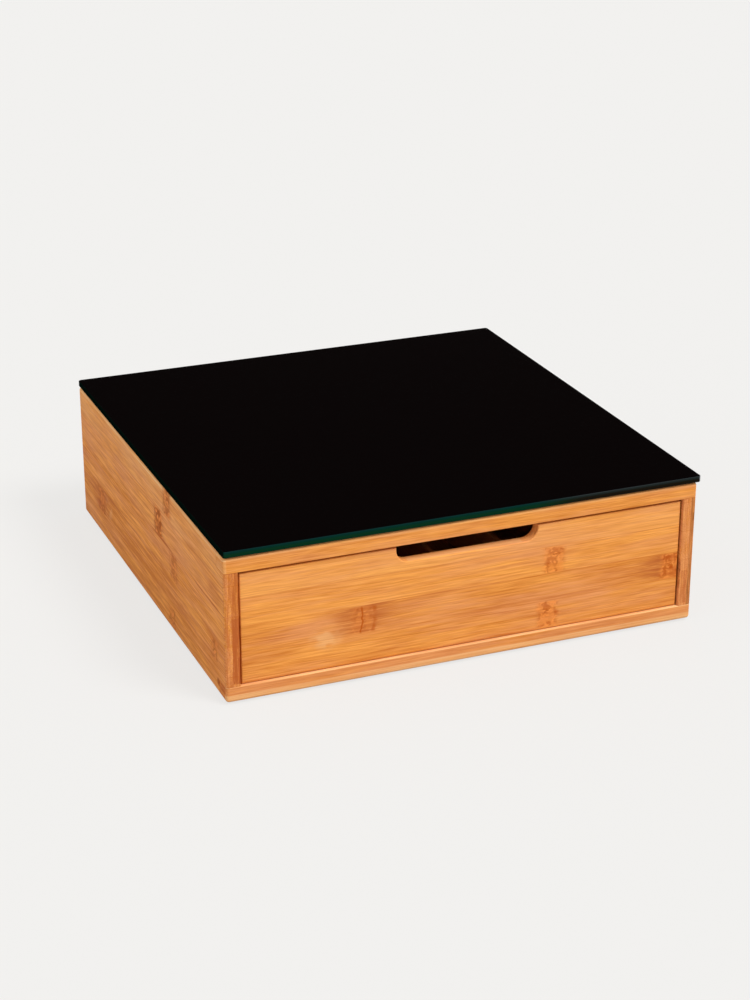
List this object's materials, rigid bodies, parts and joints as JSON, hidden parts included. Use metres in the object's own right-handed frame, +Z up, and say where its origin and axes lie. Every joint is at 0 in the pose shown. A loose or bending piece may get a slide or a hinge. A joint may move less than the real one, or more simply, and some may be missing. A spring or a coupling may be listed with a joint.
{
  "type": "coffee capsule drawer",
  "caption": "Low square bamboo box under a black glass plate, with a drawer of capsule lanes that is pulled out by a finger notch in its front.",
  "frame": {"origin": "on the table, under the middle of the box", "axes": "+X right, +Y back (the drawer opens towards -Y), +Z up"},
  "size_m": [0.312, 0.318, 0.0991],
  "materials": {
    "bamboo_box": "oiled caramel bamboo, satin",
    "bamboo_front": "oiled caramel bamboo, satin",
    "bamboo_inner": "plain bamboo, matt",
    "dowel_wood": "raw",
    "black_glass": "black, polished, green at the edge",
    "clear_silicone": "translucent",
    "foot_rubber": "matt dark"
  },
  "bodies": {
    "carcass": {"foot_front_left": "foot_rubber", "foot_front_right": "foot_rubber", "foot_back_left": "foot_rubber", "foot_back_right": "foot_rubber", "bottom_panel": "bamboo_box", "left_side_panel": "bamboo_box", "right_side_panel": "bamboo_box", "back_panel": "bamboo_box", "top_panel": "bamboo_box", "panel_dowels": "dowel_wood", "glass_pad_front_left": "clear_silicone", "glass_pad_front_right": "clear_silicone", "glass_pad_back_left": "clear_silicone", "glass_pad_back_right": "clear_silicone", "glass_top": "black_glass"},
    "drawer": {"drawer_front": "bamboo_front", "drawer_left_wall": "bamboo_inner", "drawer_right_wall": "bamboo_inner", "drawer_back": "bamboo_inner", "drawer_floor": "bamboo_inner", "lane_divider_1": "bamboo_inner", "lane_divider_2": "bamboo_inner", "lane_divider_3": "bamboo_inner", "lane_divider_4": "bamboo_inner", "lane_divider_5": "bamboo_inner"}
  },
  "joints": [
    {"name": "drawer_slide", "type": "slide", "parent": "carcass", "child": "drawer", "axis": [0, -1, 0], "range_m": [0, 0.25]}
  ]
}
